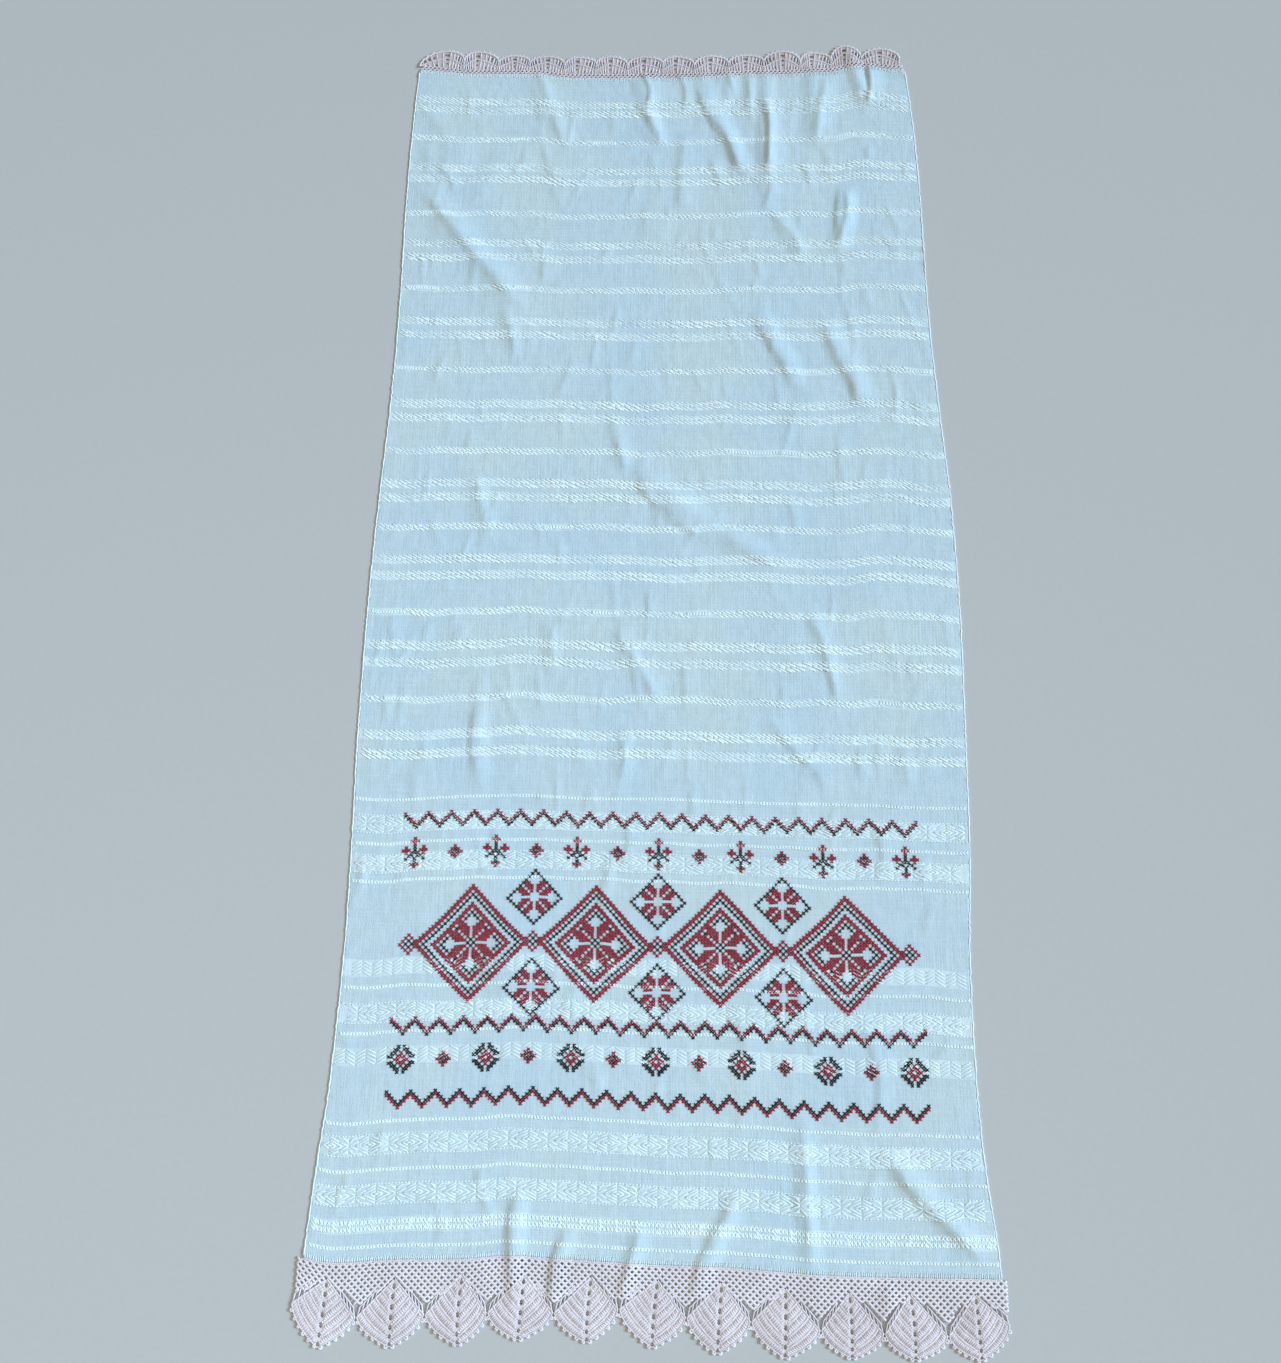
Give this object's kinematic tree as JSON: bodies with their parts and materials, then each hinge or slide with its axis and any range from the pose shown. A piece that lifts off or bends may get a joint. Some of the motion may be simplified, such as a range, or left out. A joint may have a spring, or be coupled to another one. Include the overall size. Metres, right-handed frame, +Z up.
{
  "type": "rushnyk ritual towel",
  "caption": "Long woven towel lying flat, with a deep leaf-pointed crochet edging at its lower end and a narrow scalloped shell edging at its upper end.",
  "frame": {"origin": "middle of the towel's outline, on the surface that it lies on", "axes": "+Y up the length of the towel from the deep edging to the narrow one, +X to the right of someone who looks at its face, +Z up, out of its face"},
  "size_m": [0.4576, 1.0104, 0.0065],
  "materials": {
    "linen": "pale blue-white hand-loomed linen with whiter raised pattern bands",
    "crochet_cotton": "matt off-white cotton thread, slightly pink, crocheted",
    "white_thread": "white cotton of the woven pattern bands, the selvedges and the hem stitches",
    "red_thread": "dark crimson cotton of the cross-stitch",
    "black_thread": "black cotton of the cross-stitch"
  },
  "bodies": {
    "root": {"linen_cloth": "linen", "lower_lace": "crochet_cotton", "upper_lace": "crochet_cotton"}
  },
  "joints": []
}
